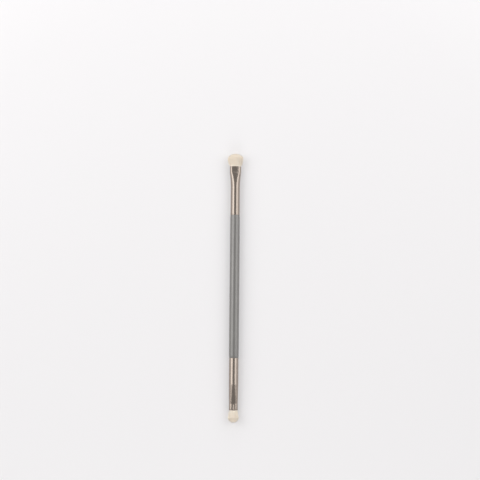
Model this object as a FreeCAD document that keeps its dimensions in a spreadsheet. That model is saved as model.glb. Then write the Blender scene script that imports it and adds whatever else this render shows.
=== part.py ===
import FreeCAD, Part
import math
import os
import random

import Sketcher

# A double ended make-up brush, lying on its side as it comes to rest.
# A turned wooden handle carries a pressed aluminium ferrule at each end, and each ferrule
# holds a tuft of synthetic filaments: a wide fanned dome at +Y and a small one at -Y.
#
# Millimetres. Y runs along the brush, X across the wide faces of both heads, Z is up.
# The origin is on the surface that the brush lies on, under the middle of its length.

# Driving sizes, all independent of each other.
SIZES = {
    # Turned handle with a round tenon at each end.
    "handle_diameter": 6.0,
    "handle_length": 88.9,
    "handle_end_taper": 1.6,
    "handle_end_drop": 0.1,
    "tenon_length": 14.0,
    "tenon_chamfer": 0.6,
    "glue_groove_width": 0.8,
    "glue_groove_depth": 0.2,
    "glue_groove_pitch": 3.0,
    "glue_groove_count": 3,
    # Both ferrules start as the same round tube, and what they hold is fitted with one clearance.
    "ferrule_diameter": 5.75,
    "ferrule_wall": 0.3,
    "fit_clearance": 0.05,
    # Wide ferrule: round tube, concave flare, band at the mouth. It keeps the tube's girth.
    "large_ferrule_length": 31.2,
    "large_flare_length": 10.0,
    "large_band_length": 3.7,
    "large_mouth_width": 7.1,
    # Narrow ferrule: round tube, straight cone swaged to less girth, band at the mouth.
    "small_ferrule_length": 31.6,
    "small_flare_length": 11.6,
    "small_band_length": 4.0,
    "small_mouth_width": 5.4,
    "small_swage": 0.9,
    # Wide tuft, with heights measured from the mouth of its ferrule.
    "large_tuft_length": 8.6,
    "large_tuft_width": 9.9,
    "large_tuft_thickness": 6.0,
    "large_neck_width": 7.9,
    "large_neck_height": 0.9,
    "large_belly_height": 3.9,
    "large_dome_drop": 2.6,
    # Small tuft.
    "small_tuft_length": 7.7,
    "small_tuft_width": 6.8,
    "small_tuft_thickness": 4.7,
    "small_neck_width": 5.7,
    "small_neck_height": 0.9,
    "small_belly_height": 4.6,
    "small_dome_drop": 2.0,
    # The filaments stand in locks, on a lattice with this pitch at their bound root.
    "lock_pitch": 0.262,
    "lock_gap": 0.02,
    "tip_scatter": 0.22,
    # Inside each ferrule a plug of set glue lies between the tenon and the bound root of the
    # tuft, which stands in a socket of the glue and so is as long as the rest leaves it.
    "tenon_end_gap": 1.8,
    "glue_plug_length": 5.0,
    "glue_socket_depth": 1.6,
    "root_taper": 0.3,
    "root_sink": 0.15,
    "root_margin": 0.14,
}

# The narrow and broad arcs of every oval section meet where their normal leans by this angle,
# so each face between two sections is a plain developable bend, as in pressed sheet.
ARC_JOIN = math.radians(70)
# The wide ferrule opens along a parabola, the narrow one along a straight cone.
FLARE_POWER = {"large": 2, "small": 1}
FLARE_BANDS = 6
# The root's corners stand every ten degrees, so some fall where the arcs meet.
ROOT_SIDES = 36
LOCK_SIDES = 5
# Locks beyond this share of the root's size are the ones that show, and bend at the neck.
OUTER_LOCKS = 0.72
# How late towards its rim the dome of tips falls away.
DOME_POWER = 3

VECTOR = FreeCAD.Vector
ALONG = VECTOR(0, 1, 0)
HALF_TURN = FreeCAD.Rotation(VECTOR(0, 0, 1), 180)


# Document and sheet
def make_sheet(doc):
    """Every driving size goes into one cell, under its own name."""
    sheet = doc.addObject("Spreadsheet::Sheet", "Sizes")
    for row, (name, value) in enumerate(SIZES.items(), start=1):
        sheet.set(f"A{row}", name)
        sheet.set(f"B{row}", str(value))
        sheet.setAlias(f"B{row}", name)
    doc.recompute()
    return sheet


# Places along the brush, as expressions on the sheet
AXIS_HEIGHT = "Sizes.handle_diameter / 2"
BORE_RADIUS = "(Sizes.ferrule_diameter / 2 - Sizes.ferrule_wall)"
LARGE_END = "(Sizes.large_ferrule_length + Sizes.large_tuft_length)"
SMALL_END = "(Sizes.small_ferrule_length + Sizes.small_tuft_length)"
LOWER_SHOULDER = f"(({SMALL_END} - {LARGE_END} - Sizes.handle_length) / 2)"
UPPER_SHOULDER = f"({LOWER_SHOULDER} + Sizes.handle_length)"
LARGE_MOUTH = f"({UPPER_SHOULDER} + Sizes.large_ferrule_length)"
SMALL_MOUTH = f"({LOWER_SHOULDER} - Sizes.small_ferrule_length)"


def place(node, along, turned=False):
    """Puts a sub-part on the brush axis at a place along it, turned end for end if asked."""
    if turned:
        node.Placement = FreeCAD.Placement(VECTOR(0, 0, 0), HALF_TURN)
    node.setExpression("Placement.Base.y", along)
    node.setExpression("Placement.Base.z", AXIS_HEIGHT)


# Turned handle
def plane_of(body, role):
    return next(item for item in body.Origin.OriginFeatures if item.Role == role)


def half_profile(body, name, corners):
    """A closed profile beside the Y axis, each corner bound as (radius, place along the axis).

    None stands for a place on the axis itself, or on the plane across its start.
    """
    sketch = body.newObject("Sketcher::SketchObject", name)
    sketch.AttachmentSupport = [(plane_of(body, "XY_Plane"), "")]
    sketch.MapMode = "FlatFace"
    draft = [VECTOR(1 + index % 2, 1 + index, 0) for index in range(len(corners))]
    for index, point in enumerate(draft):
        sketch.addGeometry(Part.LineSegment(point, draft[(index + 1) % len(draft)]))
    for index in range(len(corners)):
        following = (index + 1) % len(corners)
        sketch.addConstraint(Sketcher.Constraint("Coincident", index, 2, following, 1))
    for index, (radius, along) in enumerate(corners):
        if radius is None:
            sketch.addConstraint(Sketcher.Constraint("PointOnObject", index, 1, -2))
        else:
            across = Sketcher.Constraint("DistanceX", -1, 1, index, 1, draft[index].x)
            sketch.setExpression(f"Constraints[{sketch.addConstraint(across)}]", radius)
        if along is None:
            sketch.addConstraint(Sketcher.Constraint("PointOnObject", index, 1, -1))
        else:
            up = Sketcher.Constraint("DistanceY", -1, 1, index, 1, draft[index].y)
            sketch.setExpression(f"Constraints[{sketch.addConstraint(up)}]", along)
    return sketch


def make_handle(doc):
    """A dowel with a slight taper at both ends and a grooved tenon beyond each shoulder."""
    body = doc.addObject("PartDesign::Body", "handle")
    radius = "Sizes.handle_diameter / 2"
    end_radius = f"{radius} - Sizes.handle_end_drop"
    tenon_radius = f"{BORE_RADIUS} - Sizes.fit_clearance"
    tip_radius = f"{tenon_radius} - Sizes.tenon_chamfer"
    low = "Sizes.tenon_length"
    high = f"{low} + Sizes.handle_length"
    end = f"{high} + Sizes.tenon_length"
    outline = half_profile(body, "handle_outline", [
        (None, None),
        (tip_radius, None),
        (tenon_radius, "Sizes.tenon_chamfer"),
        (tenon_radius, low),
        (end_radius, low),
        (radius, f"{low} + Sizes.handle_end_taper"),
        (radius, f"{high} - Sizes.handle_end_taper"),
        (end_radius, high),
        (tenon_radius, high),
        (tenon_radius, f"{end} - Sizes.tenon_chamfer"),
        (tip_radius, end),
        (None, end),
    ])
    turned = body.newObject("PartDesign::Revolution", "handle_turned")
    turned.Profile = outline
    turned.ReferenceAxis = (outline, ["V_Axis"])
    turned.Angle = 360
    doc.recompute()

    reach = "(Sizes.glue_groove_count - 1) * Sizes.glue_groove_pitch"
    floor = f"{tenon_radius} - Sizes.glue_groove_depth"
    open_side = f"{tenon_radius} + Sizes.fit_clearance"
    first_low = f"({low} - {reach}) / 2"
    first_high = f"{high} + {first_low}"
    for name, first in (("lower", first_low), ("upper", first_high)):
        cutter = half_profile(body, f"{name}_groove_outline", [
            (floor, f"{first} - Sizes.glue_groove_width / 4"),
            (open_side, f"{first} - Sizes.glue_groove_width / 2"),
            (open_side, f"{first} + Sizes.glue_groove_width / 2"),
            (floor, f"{first} + Sizes.glue_groove_width / 4"),
        ])
        groove = body.newObject("PartDesign::Groove", f"{name}_groove")
        groove.Profile = cutter
        groove.ReferenceAxis = (cutter, ["V_Axis"])
        groove.Angle = 360
        doc.recompute()
        row = body.newObject("PartDesign::LinearPattern", f"{name}_grooves")
        row.Originals = [groove]
        row.Direction = (cutter, ["V_Axis"])
        row.setExpression("Length", reach)
        row.setExpression("Occurrences", "Sizes.glue_groove_count")
        body.Tip = row
        doc.recompute()
    place(body, f"{LOWER_SHOULDER} - Sizes.tenon_length")
    return body


# Oval sections of a pressed tube
class Oval:
    """Four tangent arcs of a given width and girth, with its centre on the brush axis.

    The girth is 2 pi narrow + 2 (pi - 2 ARC_JOIN) (broad - narrow), which gives both radii.
    """

    def __init__(self, width, girth):
        share = 2 * (math.pi - 2 * ARC_JOIN) - 2 * math.pi * math.cos(ARC_JOIN)
        step = (girth - math.pi * width) / share
        self.half_width = width / 2
        self.narrow = width / 2 - step * math.cos(ARC_JOIN)
        self.broad = self.narrow + step
        self.half_thick = self.broad - step * math.sin(ARC_JOIN)
        self.narrow_centre = self.half_width - self.narrow
        self.broad_centre = self.half_thick - self.broad

    def point(self, angle, inset):
        """The point of the inset oval whose normal leans by an angle from the X axis."""
        lean = math.atan2(abs(math.sin(angle)), abs(math.cos(angle)))
        if lean < ARC_JOIN:
            x = self.narrow_centre + (self.narrow - inset) * math.cos(lean)
            z = (self.narrow - inset) * math.sin(lean)
        else:
            x = (self.broad - inset) * math.cos(lean)
            z = self.broad_centre + (self.broad - inset) * math.sin(lean)
        return math.copysign(x, math.cos(angle)), math.copysign(z, math.sin(angle))

    def holds(self, x, z, inset):
        """Whether a point lies inside the inset oval."""
        x = abs(x)
        z = abs(z)
        if math.atan2(z, x - self.narrow_centre) < ARC_JOIN:
            return math.hypot(x - self.narrow_centre, z) <= self.narrow - inset
        return math.hypot(x, z - self.broad_centre) <= self.broad - inset

    def wire(self, along, inset):
        """The inset oval as four arcs, at a place along the axis."""
        quarters = [0, ARC_JOIN, math.pi / 2, math.pi - ARC_JOIN]
        angles = quarters + [math.pi + angle for angle in quarters]
        ring = [self.point(angle, inset) for angle in angles]
        points = [VECTOR(x, along, z) for x, z in ring]
        arcs = []
        for middle in range(0, 8, 2):
            arc = Part.Arc(points[middle - 1], points[middle], points[middle + 1])
            arcs.append(arc.toShape())
        return Part.Wire(arcs)


# Pressed ferrules, each with its mouth at the origin and its tube towards -Y
def ferrule_oval(sheet, end, along):
    """The outside of a ferrule at a place along it, from its round tube to its mouth band."""
    part = (along + sheet.get(f"{end}_band_length")) / sheet.get(f"{end}_flare_length") + 1
    pressed = min(max(part, 0), 1) ** FLARE_POWER[end]
    tube = sheet.ferrule_diameter
    swage = sheet.small_swage if end == "small" else 0
    width = tube + (sheet.get(f"{end}_mouth_width") - tube) * pressed
    return Oval(width, math.pi * (tube - swage * pressed))


def flare_places(sheet, end):
    """Where the flare's bands meet, from the round tube to the mouth band."""
    flare = sheet.get(f"{end}_flare_length")
    band = sheet.get(f"{end}_band_length")
    return [flare * (step / FLARE_BANDS - 1) - band for step in range(FLARE_BANDS + 1)]


def ferrule_skin(sheet, end, inset, overrun=0.0):
    """The solid inside one skin of a ferrule: round tube, flare, then the band at the mouth."""
    places = flare_places(sheet, end)
    back = -sheet.get(f"{end}_ferrule_length") - overrun
    radius = sheet.ferrule_diameter / 2 - inset
    skin = Part.makeCylinder(radius, places[0] - back, VECTOR(0, back, 0), ALONG)
    sections = [ferrule_oval(sheet, end, along).wire(along, inset) for along in places]
    sections.append(ferrule_oval(sheet, end, 0).wire(overrun, inset))
    return skin.fuse(Part.makeLoft(sections, True, True))


def make_ferrule(doc, sheet, end):
    """A tube pressed oval at the mouth, with the same wall everywhere."""
    outside = ferrule_skin(sheet, end, 0)
    bore = ferrule_skin(sheet, end, sheet.ferrule_wall, sheet.ferrule_wall)
    ferrule = doc.addObject("Part::Feature", f"{end}_ferrule")
    ferrule.Shape = outside.cut(bore)
    return ferrule


# Solids of flat faces
def flat_face(corners):
    return Part.Face(Part.makePolygon(corners + corners[:1]))


def side_faces(loops):
    """Flat faces between like loops, one after the other."""
    faces = []
    for lower, upper in zip(loops, loops[1:]):
        for index, corner in enumerate(lower):
            after = (index + 1) % len(lower)
            faces.append(flat_face([corner, lower[after], upper[after], upper[index]]))
    return faces


def closed_solid(faces):
    shell = Part.makeShell(faces)
    shell.sewShape()
    solid = Part.makeSolid(shell)
    if solid.Volume < 0:
        solid.reverse()
    return solid


# Tufts, each rising towards +Y from the mouth of its ferrule at the origin
def glue_back(sheet, end):
    """How far behind the mouth the glue begins, one gap beyond the end of the tenon."""
    return sheet.get(f"{end}_ferrule_length") - sheet.tenon_length - sheet.tenon_end_gap


def root_loops(sheet, end, grown=0.0):
    """The bound root's outlines, from its end in the glue's socket to the mouth.

    They keep one clearance inside the ferrule and narrow a little more towards the end.
    """
    inset = sheet.ferrule_wall + sheet.fit_clearance - grown
    band = sheet.get(f"{end}_band_length")
    depth = glue_back(sheet, end) - sheet.glue_plug_length + sheet.glue_socket_depth
    places = [-depth - grown]
    places += [along for along in flare_places(sheet, end) if along > -depth]
    places.append(-sheet.root_sink)
    loops = []
    for along in places:
        oval = ferrule_oval(sheet, end, along)
        narrowed = sheet.root_taper * max(-along - band, 0) / (depth - band)
        scale = 1 - narrowed / oval.half_width
        loop = []
        for index in range(ROOT_SIDES):
            x, z = oval.point(2 * math.pi * index / ROOT_SIDES, inset)
            loop.append(VECTOR(x * scale, along, z * scale))
        loops.append(loop)
    return loops


def lock_lattice(sheet, end):
    """Centres of the locks at the root, on a hexagonal lattice with one lock on the axis."""
    mouth = ferrule_oval(sheet, end, 0)
    pitch = sheet.lock_pitch
    row_pitch = pitch * math.sqrt(3) / 2
    edge = sheet.ferrule_wall + sheet.fit_clearance + sheet.root_margin + pitch / 2
    rows = math.ceil(mouth.half_width / row_pitch)
    centres = []
    for row in range(-rows, rows + 1):
        for column in range(-rows, rows + 1):
            x = (column + row % 2 / 2) * pitch
            z = row * row_pitch
            if mouth.holds(x, z, edge):
                centres.append((x, z))
    return centres


def lock_loop(x, z, radius, along):
    """The cross-section of one lock, with a corner towards the nearer wide face."""
    outward = math.copysign(radius, z)
    loop = []
    for index in range(LOCK_SIDES):
        angle = 2 * math.pi * index / LOCK_SIDES
        loop.append(VECTOR(x + outward * math.sin(angle), along, z + outward * math.cos(angle)))
    return loop


def make_tuft(doc, sheet, end, seed):
    """Locks that rise from one bound root, fan out to a belly and end in points on a dome.

    Every lock keeps its place in the lattice, which only stretches, so no two locks touch.
    """
    centres = lock_lattice(sheet, end)
    reach_x = max(x for x, z in centres)
    reach_z = max(z for x, z in centres)
    radius = (sheet.lock_pitch - sheet.lock_gap) / 2
    half_width = sheet.get(f"{end}_tuft_width") / 2
    half_thick = sheet.get(f"{end}_tuft_thickness") / 2
    growth = min(half_width / (reach_x + radius), half_thick / (reach_z + radius))
    stretch_x = (half_width - radius * growth) / reach_x
    stretch_z = (half_thick - radius * growth) / reach_z
    neck_half_width = sheet.get(f"{end}_neck_width") / 2
    fanned = (neck_half_width - reach_x - radius) / (half_width - reach_x - radius)
    length = sheet.get(f"{end}_tuft_length")
    scatter = random.Random(seed)

    roots = root_loops(sheet, end)
    faces = [flat_face(roots[0])] + side_faces(roots)
    feet = []
    for x, z in centres:
        outward = math.hypot(x / reach_x, z / reach_z)
        stations = [(0, -sheet.root_sink)]
        if outward > OUTER_LOCKS:
            stations.append((fanned, sheet.get(f"{end}_neck_height")))
        stations.append((1, sheet.get(f"{end}_belly_height")))
        loops = []
        for spread, along in stations:
            loops.append(lock_loop(
                x * (1 + (stretch_x - 1) * spread),
                z * (1 + (stretch_z - 1) * spread),
                radius * (1 + (growth - 1) * spread),
                along,
            ))
        tip = length - sheet.get(f"{end}_dome_drop") * min(outward, 1) ** DOME_POWER
        if outward > 0:
            tip -= sheet.tip_scatter * scatter.random()
        peak = VECTOR(x * stretch_x, tip, z * stretch_z)
        faces += side_faces(loops)
        for index, corner in enumerate(loops[-1]):
            faces.append(flat_face([corner, loops[-1][(index + 1) % LOCK_SIDES], peak]))
        feet.append(Part.makePolygon(loops[0] + loops[0][:1]))
    rim = Part.makePolygon(roots[-1] + roots[-1][:1])
    faces.append(Part.Face([rim] + feet))

    tuft = doc.addObject("Part::Feature", f"{end}_tuft")
    tuft.Shape = closed_solid(faces)
    print(f"{end}_tuft: {len(centres)} locks")
    return tuft


# Set glue behind the roots
def make_glue_plug(doc, sheet, end):
    """Fills the ferrule behind the root and holds the root's end in a socket."""
    loops = root_loops(sheet, end, sheet.fit_clearance)
    cavity = doc.addObject("Part::Feature", f"{end}_cavity")
    cavity.Shape = ferrule_skin(sheet, end, sheet.ferrule_wall + sheet.fit_clearance)
    socket = doc.addObject("Part::Feature", f"{end}_root_socket")
    socket.Shape = closed_solid([flat_face(loops[0]), flat_face(loops[-1])] + side_faces(loops))
    extent = doc.addObject("Part::Cylinder", f"{end}_glue_extent")
    back = f"Sizes.tenon_length + Sizes.tenon_end_gap - Sizes.{end}_ferrule_length"
    extent.Placement = FreeCAD.Placement(VECTOR(0, 0, 0), FreeCAD.Rotation(VECTOR(1, 0, 0), -90))
    extent.setExpression("Radius", "Sizes.ferrule_diameter")
    extent.setExpression("Height", "Sizes.glue_plug_length")
    extent.setExpression("Placement.Base.y", back)
    fill = doc.addObject("Part::Common", f"{end}_glue_fill")
    fill.Base = cavity
    fill.Tool = extent
    plug = doc.addObject("Part::Cut", f"{end}_glue_plug")
    plug.Base = fill
    plug.Tool = socket
    return plug


# Whole brush
def build():
    doc = FreeCAD.newDocument("makeup_brush")
    sheet = make_sheet(doc)
    nodes = [make_handle(doc)]
    for end, mouth, turned, seed in (
        ("large", LARGE_MOUTH, False, 5),
        ("small", SMALL_MOUTH, True, 8),
    ):
        for node in (
            make_ferrule(doc, sheet, end),
            make_tuft(doc, sheet, end, seed),
            make_glue_plug(doc, sheet, end),
        ):
            place(node, mouth, turned)
            nodes.append(node)
    doc.recompute()
    return doc, nodes


def write(doc, nodes):
    """Checks every object of the document, then writes one file for each sub-part."""
    for item in doc.Objects:
        if "Invalid" in item.State or "Error" in item.State:
            raise RuntimeError(f"{item.Name} failed: {item.State}")
    os.makedirs("parts", exist_ok=True)
    for node in nodes:
        shape = node.Shape
        if shape.isNull() or not shape.isValid():
            raise RuntimeError(f"{node.Label} is not a valid shape")
        shape.exportStep(f"parts/{node.Label}.step")
        box = shape.BoundBox
        print(
            f"{node.Label}: {len(shape.Solids)} solid, {shape.Volume:.1f} mm3,",
            f"x {box.XMin:.2f} to {box.XMax:.2f}, y {box.YMin:.2f} to {box.YMax:.2f},",
            f"z {box.ZMin:.2f} to {box.ZMax:.2f}",
        )


document, sub_parts = build()
write(document, sub_parts)
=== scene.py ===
# %% [markdown]
# # A double ended make-up brush
# This lesson dresses the CAD model of a small cosmetic brush: a grey lacquered wooden handle, a
# pressed aluminium ferrule at each end, and two heads of fine cream filaments.
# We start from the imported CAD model, which is the fixed frame: it says where everything is.
# All lengths that we write down are millimetres, turned into Blender's metres where they are used.

# %% Load the frame
import math

import bpy
import numpy as np
from mathutils import Matrix, Vector


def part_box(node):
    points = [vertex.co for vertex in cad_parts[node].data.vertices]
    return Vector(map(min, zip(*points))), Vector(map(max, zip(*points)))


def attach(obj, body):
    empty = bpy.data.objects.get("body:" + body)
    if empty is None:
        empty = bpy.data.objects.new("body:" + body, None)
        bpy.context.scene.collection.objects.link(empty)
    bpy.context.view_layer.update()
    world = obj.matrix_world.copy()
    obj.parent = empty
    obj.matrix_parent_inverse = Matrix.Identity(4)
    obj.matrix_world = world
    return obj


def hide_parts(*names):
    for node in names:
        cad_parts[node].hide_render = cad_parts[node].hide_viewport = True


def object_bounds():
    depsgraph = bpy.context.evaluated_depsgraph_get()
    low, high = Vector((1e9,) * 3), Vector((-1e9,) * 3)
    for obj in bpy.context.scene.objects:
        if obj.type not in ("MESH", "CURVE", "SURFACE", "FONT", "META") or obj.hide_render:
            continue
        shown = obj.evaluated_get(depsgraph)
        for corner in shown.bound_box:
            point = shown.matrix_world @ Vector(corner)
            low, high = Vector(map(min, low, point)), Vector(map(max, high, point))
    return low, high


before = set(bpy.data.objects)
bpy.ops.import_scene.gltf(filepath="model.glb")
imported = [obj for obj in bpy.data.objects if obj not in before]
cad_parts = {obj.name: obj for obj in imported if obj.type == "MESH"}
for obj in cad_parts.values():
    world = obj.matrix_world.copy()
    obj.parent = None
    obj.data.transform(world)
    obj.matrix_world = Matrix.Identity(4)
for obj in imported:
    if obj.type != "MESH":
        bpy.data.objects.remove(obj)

cad_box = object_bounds()
for name in sorted(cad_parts):
    low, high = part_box(name)
    print(name, "y from", round(low.y * 1000, 1), "to", round(high.y * 1000, 1), "mm")

# %% [markdown]
# ## Units, colours and nodes
# A few small tools are enough for the whole lesson. `mm` turns a drawing's millimetres into metres.
# `colour` turns a hex value, as a paint chart gives it, into the linear numbers that a renderer
# adds up. `add_node` puts one node into a material with its settings and its links, so that every
# material below reads like a short recipe. `new_finish` starts an empty one, and `dress` puts a
# finished one on a piece.

# %% Small tools
MM = 0.001


def mm(*values):
    """Millimetres to metres, as one number or a tuple."""
    scaled = tuple(value * MM for value in values)
    return scaled[0] if len(scaled) == 1 else scaled


def colour(code):
    """A hex sRGB colour as linear red, green, blue and an alpha of one."""
    linear = []
    for at in (1, 3, 5):
        part = int(code[at:at + 2], 16) / 255
        linear.append(part / 12.92 if part <= 0.04045 else ((part + 0.055) / 1.055) ** 2.4)
    return (*linear, 1.0)


def add_node(tree, kind, settings=None, inputs=None):
    """Adds a node. Inputs are numbers, or (node, output name) where another node feeds them."""
    node = tree.nodes.new(kind)
    for key, value in (settings or {}).items():
        setattr(node, key, value)
    for key, value in (inputs or {}).items():
        if isinstance(value, tuple) and isinstance(value[0], bpy.types.Node):
            tree.links.new(value[0].outputs[value[1]], node.inputs[key])
        else:
            node.inputs[key].default_value = value
    return node


def new_finish(name):
    """A new material without any node, and the tree that its nodes go into."""
    material = bpy.data.materials.new(name)
    material.use_nodes = True
    material.node_tree.nodes.clear()
    return material, material.node_tree


def dress(piece, material):
    """Gives a piece one material, in place of any that it had."""
    piece.data.materials.clear()
    piece.data.materials.append(material)


print("white is", colour("#ffffff"), "and mid grey", colour("#808080"))

# %% [markdown]
# ## Places along the brush
# The brush lies along Y. Six places on that line say nearly everything: the two shoulders, where a
# ferrule sits against the handle, the two mouths, where the filaments come out, and the two ends.
# We could copy them from the drawing, but then a changed drawing would leave our pieces behind.
# So they are read from the CAD model. The brush lies on the ground, and its large head is as thick
# as its handle, so the axis is half as high as the whole model. The handle's own box would give a
# little less, because its round side is made of flat faces there, with no corner right on top.

# %% Read the places
def span(name):
    """Where a piece of the CAD model starts and ends along the brush, in millimetres."""
    low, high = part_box(name)
    return round(low.y / MM, 3), round(high.y / MM, 3)


SMALL_MOUTH, SMALL_SHOULDER = span("small_ferrule")
LARGE_SHOULDER, LARGE_MOUTH = span("large_ferrule")
SMALL_END = span("small_tuft")[0]
LARGE_END = span("large_tuft")[1]
AXIS_HEIGHT = round(cad_box[1][2] / MM / 2, 3)
print("shoulders at", SMALL_SHOULDER, "and", LARGE_SHOULDER, "mm")
print("mouths at", SMALL_MOUTH, "and", LARGE_MOUTH, "mm, axis", AXIS_HEIGHT, "mm high")

# %% [markdown]
# ## The camera
# The photograph was taken from nearly straight above, with the brush lying flat, its wide head at
# the top and its small head at the bottom. The small head is a little larger in the picture than
# it would be from infinitely far away, so the camera leaned slightly towards that end.
# A camera's turn is a matrix of three directions: right, up, and back towards the photographer.
# The lens follows from how many millimetres one pixel covers at the brush.

# %% Camera
IMAGE_PIXELS = 480
MM_PER_PIXEL = 0.6267
CAMERA_DISTANCE = 550.0
CAMERA_ELEVATION = 82.4
CAMERA_ROLL = 0.478
CAMERA_TARGET = (3.22, 28.6, 3.0)
NEAREST_SEEN = 10.0

elevation = math.radians(CAMERA_ELEVATION)
roll = math.radians(CAMERA_ROLL)
back = Vector((0, -math.cos(elevation), math.sin(elevation)))
level_up = Vector((0, math.sin(elevation), math.cos(elevation)))
level_right = level_up.cross(back)
right = level_right * math.cos(roll) + level_up * math.sin(roll)
up = level_up * math.cos(roll) - level_right * math.sin(roll)

camera_data = bpy.data.cameras.new("camera")
camera = bpy.data.objects.new("camera", camera_data)
bpy.context.scene.collection.objects.link(camera)
place = Vector(mm(*CAMERA_TARGET)) + back * mm(CAMERA_DISTANCE)
turn = Matrix((right, up, back)).transposed().to_4x4()
camera.matrix_world = Matrix.Translation(place) @ turn
camera_data.sensor_fit = "HORIZONTAL"
camera_data.angle = 2 * math.atan(IMAGE_PIXELS * MM_PER_PIXEL / 2 / CAMERA_DISTANCE)
camera_data.clip_start = mm(NEAREST_SEEN)
bpy.context.scene.camera = camera
print("the lens sees", round(math.degrees(camera_data.angle), 1), "degrees")

# %% [markdown]
# ## Rings
# The handle is turned and the ferrules are drawn tubes, so both are a stack of rings along one
# axis. By hand you would add a circle, extrude its edge, and scale and move the new edge, again
# and again. `stack_rings` does just that. Each ring is a place along the brush and the half width
# and half thickness there, so that a ring may be an oval. Whoever knows the drawing can read the
# shape straight from the list.

# %% Stacking rings
ROUND_SIDES = 96


def select_nothing():
    """Leaves edit mode and deselects every object."""
    if bpy.context.object and bpy.context.object.mode != "OBJECT":
        bpy.ops.object.mode_set(mode="OBJECT")
    bpy.ops.object.select_all(action="DESELECT")


def stack_rings(name, rings, closed, sides=ROUND_SIDES):
    """Extrudes one circle into a tube along Y through rings of (y, half width, half thickness)."""
    select_nothing()
    y, wide, thick = rings[0]
    bpy.ops.mesh.primitive_circle_add(
        vertices=sides, radius=mm(wide), location=mm(0, y, AXIS_HEIGHT),
        rotation=(math.pi / 2, 0, 0),
    )
    piece = bpy.context.object
    piece.name = piece.data.name = name
    bpy.ops.object.transform_apply(location=True, rotation=True, scale=True)
    bpy.ops.object.mode_set(mode="EDIT")
    bpy.ops.mesh.select_all(action="SELECT")
    centre = Vector(mm(0, y, AXIS_HEIGHT))
    bpy.ops.transform.resize(value=(1, 1, thick / wide), center_override=centre)
    if closed:
        bpy.ops.mesh.edge_face_add()
    for after in rings[1:]:
        bpy.ops.mesh.extrude_region_move(
            TRANSFORM_OT_translate={"value": mm(0, after[0] - y, 0)}
        )
        centre = Vector(mm(0, after[0], AXIS_HEIGHT))
        bpy.ops.transform.resize(
            value=(after[1] / wide, 1, after[2] / thick), center_override=centre
        )
        y, wide, thick = after
    bpy.ops.mesh.select_all(action="SELECT")
    bpy.ops.mesh.normals_make_consistent(inside=False)
    bpy.ops.object.mode_set(mode="OBJECT")
    return piece


def finish_modifier(piece, kind, **settings):
    """Adds a modifier to a piece and applies it at once."""
    modifier = piece.modifiers.new(kind.title(), kind)
    for key, value in settings.items():
        setattr(modifier, key, value)
    select_nothing()
    piece.select_set(True)
    bpy.context.view_layer.objects.active = piece
    bpy.ops.object.modifier_apply(modifier=modifier.name)


def smooth(piece, crease):
    """Rounds the shading, and keeps edges sharper than an angle in degrees crisp."""
    select_nothing()
    piece.select_set(True)
    bpy.context.view_layer.objects.active = piece
    bpy.ops.object.shade_smooth_by_angle(angle=math.radians(crease))


print("round pieces get", ROUND_SIDES, "sides")

# %% [markdown]
# ## The handle
# The real handle is a birch dowel, turned on a lathe and dipped in lacquer. Its barrel is straight.
# At both ends it narrows by a tenth of a millimetre, and the lacquer rounds the last edge, which
# makes the fine dark line where handle and ferrule meet. A thinner tenon goes on into each ferrule,
# with three grooves that the glue grips. One list of rings holds all of it, and both ends share
# the same profile, once looking up the brush and once down.

# %% Handle
BARREL_RADIUS, END_RADIUS, END_TAPER = AXIS_HEIGHT, 2.9, 1.6
TENON_LENGTH = round(span("handle")[1] - LARGE_SHOULDER, 3)
TENON_RADIUS, TENON_CHAMFER = 2.525, 0.6
LACQUER_EDGE = 0.16
GROOVE_DEPTH, GROOVE_WIDTH, GROOVE_PITCH = 0.2, 0.8, 3.0


def half_handle(shoulder, outward):
    """Rings of one end, from the barrel's taper out to the tip of the tenon."""
    profile = [(-END_TAPER, BARREL_RADIUS), (-LACQUER_EDGE, END_RADIUS)]
    for lean in (30, 60, 90):
        angle = math.radians(lean)
        profile.append((
            LACQUER_EDGE * (math.sin(angle) - 1),
            END_RADIUS - LACQUER_EDGE * (1 - math.cos(angle)),
        ))
    profile.append((0, TENON_RADIUS))
    for groove in (-1, 0, 1):
        middle = TENON_LENGTH / 2 + groove * GROOVE_PITCH
        profile += [
            (middle - GROOVE_WIDTH / 2, TENON_RADIUS),
            (middle - GROOVE_WIDTH / 4, TENON_RADIUS - GROOVE_DEPTH),
            (middle + GROOVE_WIDTH / 4, TENON_RADIUS - GROOVE_DEPTH),
            (middle + GROOVE_WIDTH / 2, TENON_RADIUS),
        ]
    profile.append((TENON_LENGTH - TENON_CHAMFER, TENON_RADIUS))
    profile.append((TENON_LENGTH, TENON_RADIUS - TENON_CHAMFER))
    return [(shoulder + outward * y, radius, radius) for y, radius in profile]


handle_rings = half_handle(SMALL_SHOULDER, -1)[::-1] + half_handle(LARGE_SHOULDER, 1)
handle = stack_rings("handle_lacquered", handle_rings, closed=True)
smooth(handle, crease=35)
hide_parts("handle")
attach(handle, "root")
print("handle:", len(handle_rings), "rings,", len(handle.data.polygons), "faces")

# %% [markdown]
# ## A pressed section
# Both ferrules start as the same thin round tube. A press flattens the mouth into an oval, and
# because the sheet doesn't stretch, the way round it stays as long as before: what the tube gains
# in width it loses in thickness. A pressed section is four arcs, two tight ones at its ends and
# two nearly flat ones over its faces. They meet where the skin leans by `FACE_LEAN`, and the way
# round then gives both radii. `pressed_point` is the place on such a section that faces a given
# way. An ellipse would be quicker to write, but a press doesn't make one, and its faces bulge more,
# so it would mirror the lamps in other places than the real metal does.

# %% Pressed section
TUBE_RADIUS = 2.875
WALL = 0.3
FACE_LEAN = math.radians(80)


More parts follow.
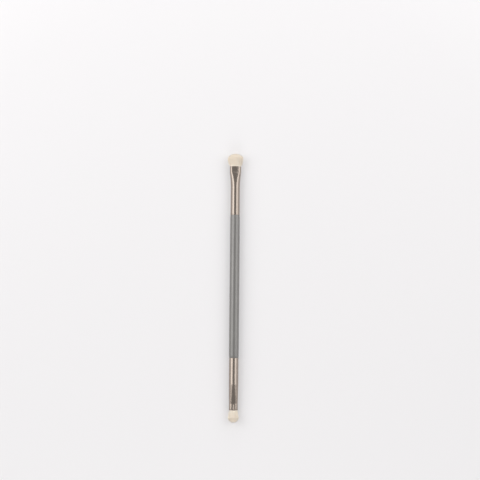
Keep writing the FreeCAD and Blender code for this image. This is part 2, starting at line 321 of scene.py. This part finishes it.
def pressed_point(angle, width, girth, pinch):
    """The point whose skin faces a given way, on a section pinched in by a little."""
    cos, sin = math.cos(FACE_LEAN), math.sin(FACE_LEAN)
    step = (girth - math.pi * width) / (2 * (math.pi - 2 * FACE_LEAN) - 2 * math.pi * cos)
    narrow = width / 2 - step * cos - pinch
    lean = math.atan2(abs(math.sin(angle)), abs(math.cos(angle)))
    if lean < FACE_LEAN:
        x = step * cos + narrow * math.cos(lean)
        z = narrow * math.sin(lean)
    else:
        x = (narrow + step) * math.cos(lean)
        z = (narrow + step) * math.sin(lean) - step * sin
    return math.copysign(x, math.cos(angle)), math.copysign(z, math.sin(angle))


LARGE_MOUTH_WIDTH, SMALL_MOUTH_WIDTH = 7.1, 5.4
half_thickness = pressed_point(math.pi / 2, LARGE_MOUTH_WIDTH, 2 * math.pi * TUBE_RADIUS, 0)[1]
print("the wide mouth is", round(2 * half_thickness, 2), "mm thick")

# %% [markdown]
# ## Sections along a ferrule
# From the shoulder a ferrule is first a straight round tube. Then comes the flare: the wide ferrule
# opens along a curve, and the small one runs along a straight cone that is also drawn in a little.
# A last strike of the tool leaves a fine crimp line and a short straight band up to the mouth.
# The list below has a section wherever the shape changes. One stands just before the flare, so
# that the bend there is a crease and smooth shading doesn't smear it down the tube.

# %% Ferrule sections
CRIMP_DEPTH, CRIMP_WIDTH = 0.04, 0.45
CREASE = 0.2
TUBE_STEPS, FLARE_STEPS, CRIMP_STEPS, BAND_STEPS = 4, 24, 4, 6


def ferrule_sections(length, flare, band, mouth_width, swage, power):
    """Sections of one ferrule from its shoulder to its mouth, as (along, width, girth, pinch)."""
    sections = []

    def section(along, pressed, pinch=0.0):
        width = 2 * TUBE_RADIUS + (mouth_width - 2 * TUBE_RADIUS) * pressed
        sections.append((along, width, math.pi * (2 * TUBE_RADIUS - swage * pressed), pinch))

    straight = length - flare - band
    crimp = length - band
    for step in range(TUBE_STEPS + 1):
        section((straight - CREASE) * step / TUBE_STEPS, 0)
    for step in range(FLARE_STEPS + 1):
        along = straight + flare * step / FLARE_STEPS
        if along < crimp - CRIMP_WIDTH / 2:
            section(along, (step / FLARE_STEPS) ** power)
    for step in range(-CRIMP_STEPS, CRIMP_STEPS + 1):
        along = crimp + CRIMP_WIDTH / 2 * step / CRIMP_STEPS
        pressed = min((along - straight) / flare, 1) ** power
        section(along, pressed, CRIMP_DEPTH * math.cos(math.pi / 2 * step / CRIMP_STEPS) ** 2)
    for step in range(1, BAND_STEPS + 1):
        section(crimp + CRIMP_WIDTH / 2 + (band - CRIMP_WIDTH / 2) * step / BAND_STEPS, 1)
    return sections


LARGE = {
    "length": round(LARGE_MOUTH - LARGE_SHOULDER, 3), "flare": 10.0, "band": 3.7,
    "mouth_width": LARGE_MOUTH_WIDTH, "swage": 0.0, "power": 2,
}
SMALL = {
    "length": round(SMALL_SHOULDER - SMALL_MOUTH, 3), "flare": 11.6, "band": 4.0,
    "mouth_width": SMALL_MOUTH_WIDTH, "swage": 0.9, "power": 1,
}
print("the wide ferrule has", len(ferrule_sections(**LARGE)), "sections")

# %% [markdown]
# ## Pressing a ferrule
# We make a ferrule as its maker does: first a round tube, stacked from rings, and then every point
# of it is pressed to the section at its place. Two small faults of real pressing make it
# believable. The jaws leave a fine raised line where they meet, along the middle of the small
# ferrule's band, and they stand a few degrees askew, so the mouth is turned a little against the
# handle. Solidify then gives the tube its wall, and a small bevel softens both rims, which catch
# the light as a thin bright edge.

# %% Press a ferrule
PRESSED_SIDES = 280
RIDGE_HALF_WIDTH, RIDGE_RUN_IN = 0.4, 0.8
# The higher this power, the nearer to the mouth the tube is turned askew.
ASKEW_POWER = 8
RIM_BEVEL = 0.09


def make_ferrule(name, node, shoulder, outward, sections, ridge, roll):
    """A round tube pressed to its sections, with a ridge along its band and its mouth askew."""
    rings = [(shoulder + outward * along, TUBE_RADIUS, TUBE_RADIUS) for along, *rest in sections]
    ferrule = stack_rings(name, rings, closed=False, sides=PRESSED_SIDES)
    places = np.array([y for y, *rest in rings])
    crimp = next(along for along, width, girth, pinch in sections if pinch == CRIMP_DEPTH)
    for vertex in ferrule.data.vertices:
        nearest = np.abs(places - vertex.co.y / MM).argmin()
        along, width, girth, pinch = sections[nearest]
        angle = math.atan2(vertex.co.z - mm(AXIS_HEIGHT), vertex.co.x)
        x, z = pressed_point(angle, width, girth, pinch)
        if along > crimp and abs(x) < RIDGE_HALF_WIDTH:
            raised = min((along - crimp) / RIDGE_RUN_IN, 1)
            crest = 1 - abs(x) / RIDGE_HALF_WIDTH
            z += math.copysign(ridge * raised * crest, z)
        askew = math.radians(roll) * min(along / crimp, 1) ** ASKEW_POWER
        turned_x = x * math.cos(askew) + z * math.sin(askew)
        turned_z = z * math.cos(askew) - x * math.sin(askew)
        vertex.co.x, vertex.co.z = mm(turned_x, turned_z + AXIS_HEIGHT)
    finish_modifier(ferrule, "SOLIDIFY", thickness=mm(WALL), offset=-1, use_even_offset=True)
    finish_modifier(
        ferrule, "BEVEL", width=mm(RIM_BEVEL), segments=3, limit_method="ANGLE",
        angle_limit=math.radians(60),
    )
    smooth(ferrule, crease=50)
    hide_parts(node)
    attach(ferrule, "root")
    print(name, len(ferrule.data.polygons), "faces")
    return ferrule


LARGE_ROLL, SMALL_ROLL = 5.5, 2.0
large_ferrule = make_ferrule(
    "large_ferrule_pressed", "large_ferrule", LARGE_SHOULDER, 1, ferrule_sections(**LARGE),
    ridge=0.0, roll=LARGE_ROLL,
)
small_ferrule = make_ferrule(
    "small_ferrule_pressed", "small_ferrule", SMALL_SHOULDER, -1, ferrule_sections(**SMALL),
    ridge=0.15, roll=SMALL_ROLL,
)

# %% [markdown]
# ## One filament
# A brush head is thousands of polyester filaments, each about as thick as a hair, with a tip
# ground to a point. Blender's hair could draw them, but hair isn't a mesh and is lost when a model
# is exported. All filaments are alike, so one is modelled and then copied: a slim four sided rod,
# one unit long, cut across into short lengths so that it can bend, with its far end merged to a
# point. It has only about two dozen faces, because there will be thousands of it.

# %% Filament
FILAMENT_CUTS = 6

select_nothing()
bpy.ops.mesh.primitive_cylinder_add(
    vertices=4, radius=1, depth=1, location=(0, 0, 0.5), end_fill_type="NGON"
)
filament = bpy.context.object
bpy.ops.object.transform_apply(location=True, rotation=True, scale=True)
bpy.ops.object.mode_set(mode="EDIT")
for cut in range(1, FILAMENT_CUTS):
    bpy.ops.mesh.select_all(action="SELECT")
    bpy.ops.mesh.bisect(plane_co=(0, 0, cut / FILAMENT_CUTS), plane_no=(0, 0, 1))
bpy.ops.mesh.select_all(action="DESELECT")
bpy.ops.object.mode_set(mode="OBJECT")
for vertex in filament.data.vertices:
    vertex.select = vertex.co.z > 1 - 0.5 / FILAMENT_CUTS
bpy.ops.object.mode_set(mode="EDIT")
bpy.ops.mesh.merge(type="CENTER")
bpy.ops.mesh.select_all(action="SELECT")
bpy.ops.mesh.normals_make_consistent(inside=False)
bpy.ops.object.mode_set(mode="OBJECT")
filament_points = np.array([vertex.co for vertex in filament.data.vertices])
filament_faces = [list(polygon.vertices) for polygon in filament.data.polygons]
bpy.data.objects.remove(filament)
print("one filament has", len(filament_points), "points and", len(filament_faces), "faces")

# %% [markdown]
# ## The form of a head
# At the mouth of the ferrule the filaments stand as close as they can. Above it they lean out over
# a round belly, and their tips lie on a dome. A head is therefore described by four short rules:
# where the filaments stand over the mouth, how high their tips reach, how much fuller than an
# ellipse the head is, and how it is turned at its root, where the askew mouth holds it.
# The places are spread along a sunflower's spiral, which fills a disc evenly with no rows to see.

# %% Form of a head
NUDGE = 0.35
FULLNESS = 0.45
ROLL_LOST = 3.0


def scattered_places(count, rng):
    """Places spread evenly over a unit disc, along a sunflower's spiral, each nudged a little."""
    index = np.arange(count) + 0.5
    radius = np.sqrt(index / count)
    angle = index * math.pi * (3 - math.sqrt(5))
    places = np.stack([radius * np.cos(angle), radius * np.sin(angle)], axis=1)
    places += rng.normal(0, NUDGE / math.sqrt(count), places.shape)
    reach = np.maximum(np.hypot(places[:, 0], places[:, 1]), 1)
    return places / reach[:, None]


def dome(reach, tip, drop):
    """How high the tips stand, from the middle of the head to its rim."""
    return tip - drop * reach ** 3


def squareness(share):
    """How much fuller than an ellipse a head is, at a share of its half width."""
    return 1 + FULLNESS * share ** 2


def roll_over(x, z, roll, height):
    """Turns a head's root askew with the mouth that holds it. The tips stand level again."""
    turn = np.radians(roll * np.clip(1 - height / ROLL_LOST, 0, 1))
    return x * np.cos(turn) + z * np.sin(turn), z * np.cos(turn) - x * np.sin(turn)


print("at its sides a head is", squareness(1), "times as thick as an ellipse")

# %% [markdown]
# ## The core of a head
# Deep inside a real head there are only more filaments, so close that hardly any light comes
# through. Modelling enough of them to look like that would cost many faces that nobody sees. A
# solid core does the same for the eye: it fills nine tenths of the width and ends a little below
# the tips. Its outside is combed into fine strands, so that a gap between the outer filaments
# still shows hair.

# %% Core of a head
CORE_SHARE = 0.9
CORE_START, CORE_STEP = -1.5, 0.4
CORE_DEPTH = 0.65
CORE_ROUND = 0.7
CORE_DOME_RINGS = 24
CORE_SIDES = 240
STRAND_DEPTH = 0.04


def core_levels(tip, drop):
    """Rings of the core as (height above the mouth, share of the width), up to its rounded end."""
    side_top = dome(CORE_SHARE, tip, drop) - CORE_DEPTH - CORE_ROUND
    levels = [(height, CORE_SHARE) for height in np.arange(CORE_START, side_top, CORE_STEP)]
    for share in CORE_SHARE * np.sin(np.linspace(math.pi / 2, 0.02, CORE_DOME_RINGS)):
        rounded = CORE_ROUND * (share / CORE_SHARE) ** 8
        levels.append((dome(share, tip, drop) - CORE_DEPTH - rounded, share))
    return levels


def grow_core(name, node, mouth, outward, seed, envelope, thick_envelope, tip, drop, roll):
    """The close inside of a head, combed into strands, with the filaments' tips above it."""
    rng = np.random.default_rng(seed)
    rings = []
    for height, share in core_levels(tip, drop):
        wide = np.interp(height, *envelope) * share
        thick = np.interp(height, *thick_envelope) * share
        rings.append((mouth + outward * height, wide, thick))
    core = stack_rings(name, rings, closed=True, sides=CORE_SIDES)
    strand = rng.uniform(-STRAND_DEPTH, STRAND_DEPTH, CORE_SIDES)
    for vertex in core.data.vertices:
        x = vertex.co.x / MM
        z = vertex.co.z / MM - AXIS_HEIGHT
        reach = math.hypot(x, z)
        turn = round((math.atan2(z, x) / (2 * math.pi) + 1) * CORE_SIDES) % CORE_SIDES
        # The strands get shallower within the last millimetre round the axis.
        grown = 1 + strand[turn] * min(reach, 1) / max(reach, 0.1)
        height = outward * (vertex.co.y / MM - mouth)
        share = x / np.interp(height, *envelope)
        x, z = roll_over(x * grown, z * grown * squareness(share), roll, height)
        vertex.co.x, vertex.co.z = mm(x, z + AXIS_HEIGHT)
    smooth(core, crease=80)
    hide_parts(node)
    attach(core, "root")
    print(name, len(core.data.polygons), "faces")
    return core


print("a core's side ends in", CORE_DOME_RINGS, "rings that round it off")

# %% [markdown]
# ## Combing the filaments
# A filament keeps its place in the crowd all the way up, so its path is its place at the mouth,
# stretched by how wide the head is at each height. Real heads aren't combed perfectly, and the eye
# reads just that as soft hair. Neighbours cling together in small locks. Each filament leans a
# little on its own, more so at the rim, and sways to one side and back on its way up. Most lean
# hardly at all and a few stray far, which a t distribution gives and a normal one doesn't.

# %% Comb the filaments
CLING = (0.1, 0.45)
LEAN, LEAN_AT_RIM = 0.02, 0.06
# The lower this number, the more filaments stray far.
LEAN_FREEDOM = 3
SWAY = 0.012
FARTHEST = 1.06


def comb(places, risen, locks, rng):
    """Where each filament is over the mouth, in shares of the head's width, as it rises."""
    reach = np.hypot(places[:, 0], places[:, 1])
    centres = scattered_places(locks, rng)
    gap = np.hypot(*(places[:, None, :] - centres[None, :, :]).transpose(2, 0, 1))
    nearest = gap.argmin(axis=1)
    cling = rng.uniform(*CLING, locks)[nearest]
    gathered = (centres[nearest] - places) * cling[:, None]
    lean = rng.standard_t(LEAN_FREEDOM, places.shape) * (LEAN + LEAN_AT_RIM * reach ** 4)[:, None]
    sway = rng.normal(0, SWAY, places.shape)
    wave = np.sin(risen * math.pi * 1.5)
    spots = places[:, None, :] + gathered[:, None, :] * risen[:, :, None] ** 1.5
    spots += lean[:, None, :] * risen[:, :, None] ** 2 + sway[:, None, :] * wave[:, :, None]
    return np.clip(spots, -FARTHEST, FARTHEST)


print("a lock draws its filaments in by", CLING[0], "to", CLING[1], "of their distance")

# %% [markdown]
# ## Growing a head
# Now the one filament is copied to every place and bent along its combed path. Doing this point by
# point in a loop would be slow, so whole arrays of points are moved at once, and the mesh is made
# from them in one step. The lengths differ slightly, more so at the rim. Every filament also
# gets a random tone of its own, kept on the mesh, which its material reads later.

# %% Grow a head
FILAMENT_RADIUS = 0.05
ROOT_DEPTH = 2.5
SHORTFALL_SHAPE, SHORTFALL = 1.5, 0.12
RIM_SCATTER = 0.45
GROUND_GAP = 0.005


def grow_head(
    name, node, mouth, outward, count, seed, envelope, thick_envelope, tip, drop, roll, locks
):
    """Copies the filament to every place, bent to the head's envelope."""
    rng = np.random.default_rng(seed)
    places = scattered_places(count, rng)
    reach = np.hypot(places[:, 0], places[:, 1])
    length = dome(reach, tip, drop) - rng.gamma(SHORTFALL_SHAPE, SHORTFALL, count)
    length -= RIM_SCATTER * reach ** 4 * rng.random(count)
    heights = -ROOT_DEPTH + np.outer(length + ROOT_DEPTH, filament_points[:, 2])
    risen = np.clip(heights, 0, None) / tip
    spots = comb(places, risen, locks, rng)

    twist = rng.uniform(0, 2 * math.pi, count)
    cos, sin = np.cos(twist), np.sin(twist)
    turned_x = np.outer(cos, filament_points[:, 0]) - np.outer(sin, filament_points[:, 1])
    turned_z = np.outer(sin, filament_points[:, 0]) + np.outer(cos, filament_points[:, 1])
    wide = np.interp(heights, *envelope)
    thick = np.interp(heights, *thick_envelope)
    x = spots[:, :, 0] * wide + turned_x * FILAMENT_RADIUS
    z = spots[:, :, 1] * thick * squareness(spots[:, :, 0]) + turned_z * FILAMENT_RADIUS
    x, z = roll_over(x, z, roll, heights)
    # The lowest filaments lie on the ground, and none stands higher than the CAD model does.
    z = np.clip(z, -AXIS_HEIGHT + GROUND_GAP, AXIS_HEIGHT)
    points = np.stack([x, mouth + outward * heights, z + AXIS_HEIGHT], axis=2).reshape(-1, 3) * MM

    step = len(filament_points)
    turned_faces = [face[::-1] if outward > 0 else face for face in filament_faces]
    faces = []
    for copy in range(count):
        faces += [[corner + copy * step for corner in face] for face in turned_faces]
    mesh = bpy.data.meshes.new(name)
    mesh.from_pydata(points.tolist(), [], faces)
    tone = mesh.attributes.new("tone", "FLOAT", "POINT")
    tone.data.foreach_set("value", np.repeat(rng.random(count), step))
    head = bpy.data.objects.new(name, mesh)
    bpy.context.scene.collection.objects.link(head)
    for polygon in mesh.polygons:
        polygon.use_smooth = True
    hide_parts(node)
    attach(head, "root")
    print(name, count, "filaments,", sum(len(p.vertices) - 2 for p in mesh.polygons), "triangles")
    return head


print("a filament is", 2 * FILAMENT_RADIUS, "mm thick, and", ROOT_DEPTH, "mm of it is hidden")

# %% [markdown]
# ## Both heads
# Both heads are made the same way. The large one is a wide, flat fan, and the small one is narrower
# and more rounded. The form of each is a short list of heights above the mouth, with the half width
# and the half thickness there. The widths follow the photograph, and the thicknesses keep to the
# CAD model. Inside the mouth the filaments fill the bore. Each head is its filaments and its core,
# and both take the place of the same CAD node.

# %% Make both heads
LARGE_HEAD = {
    "node": "large_tuft", "mouth": LARGE_MOUTH, "outward": 1, "seed": 5,
    "tip": round(LARGE_END - LARGE_MOUTH, 3), "drop": 2.1, "roll": LARGE_ROLL,
    "envelope": (
        [-3, 0, 0.7, 1.5, 2.6, 4.3, 5.6, 6.7, 8.6],
        [3.2, 3.22, 3.78, 4.18, 4.5, 4.7, 4.68, 4.6, 4.4],
    ),
    "thick_envelope": (
        [-3, 0, 0.7, 1.5, 2.6, 4.3, 6.7, 8.6],
        [1.46, 1.48, 1.95, 2.3, 2.6, 2.8, 2.75, 2.5],
    ),
}
SMALL_HEAD = {
    "node": "small_tuft", "mouth": SMALL_MOUTH, "outward": -1, "seed": 8,
    "tip": round(SMALL_MOUTH - SMALL_END, 3), "drop": 1.9, "roll": SMALL_ROLL,
    "envelope": (
        [-3, 0, 0.7, 1.6, 2.8, 5.0, 6.2, 7.7],
        [2.34, 2.36, 2.68, 2.84, 3.0, 3.16, 3.12, 2.95],
    ),
    "thick_envelope": (
        [-3, 0, 0.7, 1.6, 2.8, 5.0, 6.2, 7.7],
        [1.62, 1.64, 1.85, 2.0, 2.1, 2.2, 2.15, 2.0],
    ),
}
heads = [
    grow_head("large_head_filaments", count=3400, locks=130, **LARGE_HEAD),
    grow_head("small_head_filaments", count=2500, locks=90, **SMALL_HEAD),
    grow_core("large_head_core", **LARGE_HEAD),
    grow_core("small_head_core", **SMALL_HEAD),
]

# %% [markdown]
# ## Lacquer over wood
# A make-up brush handle is dipped in a satin lacquer with a little metal pigment. The pigment
# lifts two soft bands of light along the barrel, and the clear film over it keeps them even: that
# is a shader that is half metal, with a coat. Under the film the grain of the birch shows only as
# the faintest lengthwise ripple.

# %% Satin grey lacquer
GRAIN_WIDTH, LACQUER_CLOUD = 0.5, 9.0

lacquer, tree = new_finish("satin_grey_pigmented_lacquer")
spot = add_node(tree, "ShaderNodeTexCoord")
# Grain runs along the brush, so its pattern is stretched forty times along Y.
stretched = add_node(tree, "ShaderNodeMapping", None, {
    "Vector": (spot, "Object"), "Scale": (1, 1 / 40, 1),
})
grain = add_node(tree, "ShaderNodeTexNoise", None, {
    "Vector": (stretched, "Vector"), "Scale": 1 / mm(GRAIN_WIDTH), "Detail": 3,
})
cloud = add_node(tree, "ShaderNodeTexNoise", None, {
    "Vector": (spot, "Object"), "Scale": 1 / mm(LACQUER_CLOUD), "Detail": 2,
})
tint = add_node(tree, "ShaderNodeMix", {"data_type": "RGBA"}, {
    "Factor": (cloud, "Fac"), "A": colour("#7f7d7b"), "B": colour("#858380"),
})
sheen_range = add_node(tree, "ShaderNodeMapRange", None, {
    "Value": (grain, "Fac"), "To Min": 0.36, "To Max": 0.42,
})
ripple = add_node(tree, "ShaderNodeBump", None, {
    "Height": (grain, "Fac"), "Strength": 0.08, "Distance": mm(0.01),
})
shader = add_node(tree, "ShaderNodeBsdfPrincipled", None, {
    "Base Color": (tint, "Result"), "Roughness": (sheen_range, "Result"),
    "Normal": (ripple, "Normal"), "Metallic": 0.55, "Coat Weight": 0.4, "Coat Roughness": 0.25,
})
add_node(tree, "ShaderNodeOutputMaterial", None, {"Surface": (shader, "BSDF")})
dress(handle, lacquer)
print(lacquer.name, "on", handle.name)

# %% [markdown]
# ## Anodised aluminium
# Cosmetic ferrules are drawn aluminium, brightened in a bath and anodised in a champagne brown.
# It is a metal, so its colour tints what it reflects, and its default IOR stays. Drawing the tube
# leaves fine lines along it, which soften every reflection across them.

# %% Champagne anodised aluminium
# Real drawing lines are about 0.02 mm apart. They are drawn ten times coarser so that they show.
LINE_SPACING, METAL_CLOUD = 0.2, 4.0

anodised, tree = new_finish("drawn_aluminium_champagne_anodised")
spot = add_node(tree, "ShaderNodeTexCoord")
stretched = add_node(tree, "ShaderNodeMapping", None, {
    "Vector": (spot, "Object"), "Scale": (1, 0.015, 1),
})
lines = add_node(tree, "ShaderNodeTexNoise", None, {
    "Vector": (stretched, "Vector"), "Scale": 1 / mm(LINE_SPACING), "Detail": 4,
    "Roughness": 0.65,
})
cloud = add_node(tree, "ShaderNodeTexNoise", None, {
    "Vector": (spot, "Object"), "Scale": 1 / mm(METAL_CLOUD), "Detail": 2,
})
tint = add_node(tree, "ShaderNodeMix", {"data_type": "RGBA"}, {
    "Factor": (cloud, "Fac"), "A": colour("#9d9188"), "B": colour("#a3988e"),
})
polish = add_node(tree, "ShaderNodeMapRange", None, {
    "Value": (lines, "Fac"), "To Min": 0.18, "To Max": 0.26,
})
scratch = add_node(tree, "ShaderNodeBump", None, {
    "Height": (lines, "Fac"), "Strength": 0.04, "Distance": mm(0.01),
})
shader = add_node(tree, "ShaderNodeBsdfPrincipled", None, {
    "Base Color": (tint, "Result"), "Roughness": (polish, "Result"),
    "Normal": (scratch, "Normal"), "Metallic": 1.0,
})
add_node(tree, "ShaderNodeOutputMaterial", None, {"Surface": (shader, "BSDF")})
for ferrule in (large_ferrule, small_ferrule):
    dress(ferrule, anodised)
print(anodised.name, "on both ferrules")

# %% [markdown]
# ## Cream polyester
# The filaments are cream polyester with a soft gloss. In a real head, light that enters one
# filament leaves it again in its neighbours, so the whole head looks paler than one filament would.
# Following that light through thousands of thin rods is slow, so a pale solid colour stands for
# it. Each filament has its own tone between a warmer and a paler cream, stored on the mesh when it
# grew. The core has no tone, so it gets the warmer one.

# %% Cream filaments
cream, tree = new_finish("cream_polyester_filament")
tone = add_node(tree, "ShaderNodeAttribute", {"attribute_name": "tone"})
tint = add_node(tree, "ShaderNodeMix", {"data_type": "RGBA"}, {
    "Factor": (tone, "Fac"), "A": colour("#fdefdc"), "B": colour("#fff8ec"),
})
shader = add_node(tree, "ShaderNodeBsdfPrincipled", None, {
    "Base Color": (tint, "Result"), "Roughness": 0.5, "IOR": 1.57,
})
add_node(tree, "ShaderNodeOutputMaterial", None, {"Surface": (shader, "BSDF")})
for head in heads:
    dress(head, cream)
print(cream.name, "on", len(heads), "pieces")

# %% [markdown]
# ## Set glue
# Inside each ferrule, amber epoxy holds the bound filaments. Nobody sees it in a whole brush, but
# it has its finish too: clear resin sets with a hard gloss and cloudy patches of its own colour.
# The CAD model's plugs are simple enough to be shown as they are, so they are only dressed.

# %% Amber glue
EPOXY_CLOUD = 2.0

epoxy, tree = new_finish("set_amber_epoxy")
spot = add_node(tree, "ShaderNodeTexCoord")
cloud = add_node(tree, "ShaderNodeTexNoise", None, {
    "Vector": (spot, "Object"), "Scale": 1 / mm(EPOXY_CLOUD), "Detail": 2,
})
tint = add_node(tree, "ShaderNodeMix", {"data_type": "RGBA"}, {
    "Factor": (cloud, "Fac"), "A": colour("#b98a3c"), "B": colour("#d6ab62"),
})
shader = add_node(tree, "ShaderNodeBsdfPrincipled", None, {
    "Base Color": (tint, "Result"), "Roughness": 0.15, "IOR": 1.55,
})
add_node(tree, "ShaderNodeOutputMaterial", None, {"Surface": (shader, "BSDF")})
for name in ("large_glue_plug", "small_glue_plug"):
    dress(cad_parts[name], epoxy)
print("finishes:", [m.name for m in bpy.data.materials])

# %% [markdown]
# ## The ground
# The photograph has a plain white ground. A photographer would unroll a sheet of paper that curves
# up far behind the object, so that no edge shows. Ours curves up all round, and a view from any
# side has the same ground. We start from a filled circle and extrude its rim up a quarter circle.

# %% Floor
FLOOR_RADIUS, FLOOR_RING = 1200.0, 700.0
CURVE_RADIUS, CURVE_STEPS = 700.0, 8
RIM_SLACK = 10.0


def up_the_curve(step):
    """How far out and how high the paper is, some steps up its curve."""
    angle = math.pi / 2 * step / CURVE_STEPS
    return FLOOR_RADIUS + CURVE_RADIUS * math.sin(angle), CURVE_RADIUS * (1 - math.cos(angle))


select_nothing()
bpy.ops.mesh.primitive_circle_add(
    vertices=64, radius=mm(FLOOR_RADIUS), fill_type="NGON", location=(0, 0, 0)
)
floor = bpy.context.object
floor.name = floor.data.name = "floor"
bpy.ops.object.mode_set(mode="EDIT")
bpy.ops.mesh.select_all(action="SELECT")
bpy.ops.mesh.inset(thickness=mm(FLOOR_RING))
bpy.ops.object.mode_set(mode="OBJECT")
for vertex in floor.data.vertices:
    vertex.select = vertex.co.xy.length > mm(FLOOR_RADIUS - RIM_SLACK)
for edge in floor.data.edges:
    edge.select = all(floor.data.vertices[i].select for i in edge.vertices)
for polygon in floor.data.polygons:
    polygon.select = False
bpy.ops.object.mode_set(mode="EDIT")
for step in range(1, CURVE_STEPS + 1):
    (near, low), (far, high) = up_the_curve(step - 1), up_the_curve(step)
    bpy.ops.mesh.extrude_edges_move(TRANSFORM_OT_translate={"value": mm(0, 0, high - low)})
    bpy.ops.transform.resize(value=(far / near, far / near, 1), center_override=(0, 0, 0))
bpy.ops.object.mode_set(mode="OBJECT")
smooth(floor, crease=40)
print("floor", len(floor.data.polygons), "faces")

# %% [markdown]
# ## White paper
# Paper scatters light evenly, so its shader is plain diffuse. A touch of light of its own keeps it
# pale where the lamps reach it less, and more of it farther out, where they hardly reach at all.
# That light is seen only directly, in a reflection or through something clear. It doesn't brighten
# the matt parts of the brush, and the shadow of the brush stays.

# %% Paper ground
GLOW_FROM, GLOW_TO = 0.24, 0.62
GLOW_NEAR, GLOW_FAR = 200.0, 1200.0

paper, tree = new_finish("white_paper_ground")
matte = add_node(tree, "ShaderNodeBsdfDiffuse", None, {"Color": colour("#cdcbcc")})
path = add_node(tree, "ShaderNodeLightPath")
direct = add_node(tree, "ShaderNodeMath", {"operation": "MAXIMUM"}, {
    0: (path, "Is Camera Ray"), 1: (path, "Is Glossy Ray"),
})
seen = add_node(tree, "ShaderNodeMath", {"operation": "MAXIMUM"}, {
    0: (direct, "Value"), 1: (path, "Is Transmission Ray"),
})
spot = add_node(tree, "ShaderNodeTexCoord")
away = add_node(tree, "ShaderNodeVectorMath", {"operation": "LENGTH"}, {0: (spot, "Object")})
glow = add_node(tree, "ShaderNodeMapRange", None, {
    "Value": (away, "Value"), "From Min": mm(GLOW_NEAR), "From Max": mm(GLOW_FAR),
    "To Min": GLOW_FROM, "To Max": GLOW_TO,
})
level = add_node(tree, "ShaderNodeMath", {"operation": "MULTIPLY"}, {
    0: (seen, "Value"), 1: (glow, "Result"),
})
lift = add_node(tree, "ShaderNodeEmission", None, {
    "Color": colour("#ffffff"), "Strength": (level, "Value"),
})
total = add_node(tree, "ShaderNodeAddShader", None, {0: (matte, "BSDF"), 1: (lift, "Emission")})
add_node(tree, "ShaderNodeOutputMaterial", None, {"Surface": (total, "Shader")})
dress(floor, paper)
print(paper.name, "glows from", GLOW_FROM, "near the brush to", GLOW_TO, "far out")

# %% [markdown]
# ## The lamps
# In the photograph the handle and the metal have a band of light on each side of a dark middle
# line. So two large soft lights stand left and right of the brush, the left one a little stronger,
# and straight above it is dimmer. Two weak lights beyond the ends of the brush, so low that the
# metal doesn't mirror them to the camera, light the tips of the heads. A dim white world fills the
# rest.

# %% Lamps
SOFTBOX_DISTANCE, SOFTBOX_FORWARD = 700.0, 400.0
SOFTBOX_WIDTH, SOFTBOX_LENGTH = 530.0, 1100.0
SOFTBOX_ANGLE, SOFTBOX_TURN = 48.5, 0.5
SOFTBOX_POWER = 4.1
# Each softbox is a side, -1 for left and 1 for right, and its share of the power.
SOFTBOXES = [(-1, 0.94), (1, 0.74)]
# Each end light is a place along the brush, a height, a size and a power in watts.
END_LIGHTS = [(-560.0, 260.0, 350.0, 1.2), (600.0, 200.0, 300.0, 0.75)]
WORLD_STRENGTH = 0.4


def add_lamp(name, width, length, power, place, turn):
    """A soft lamp of a size in millimetres and a power in watts, turned from facing down."""
    lamp_data = bpy.data.lights.new(name, "AREA")
    lamp_data.shape = "RECTANGLE"
    lamp_data.size, lamp_data.size_y = mm(width, length)
    lamp_data.energy = power
    lamp = bpy.data.objects.new(name, lamp_data)
    bpy.context.scene.collection.objects.link(lamp)
    lamp.location = mm(*place)
    lamp.rotation_euler = turn
    print(name, round(power, 2), "W,", width, "by", length, "mm")


for side, share in SOFTBOXES:
    angle = math.radians(SOFTBOX_ANGLE * side - SOFTBOX_TURN)
    across, above = SOFTBOX_DISTANCE * math.sin(angle), SOFTBOX_DISTANCE * math.cos(angle)
    add_lamp(
        "softbox", SOFTBOX_WIDTH, SOFTBOX_LENGTH, SOFTBOX_POWER * share,
        (across, SOFTBOX_FORWARD, above), (0, angle, 0),
    )
for y, height, size, power in END_LIGHTS:
    add_lamp("end_light", size, size, power, (0, y, height), (-math.atan2(y, height), 0, 0))

world = bpy.data.worlds.new("studio")
bpy.context.scene.world = world
world.use_nodes = True
world.node_tree.nodes["Background"].inputs["Color"].default_value = colour("#ffffff")
world.node_tree.nodes["Background"].inputs["Strength"].default_value = WORLD_STRENGTH
bpy.context.scene.view_settings.view_transform = "Standard"
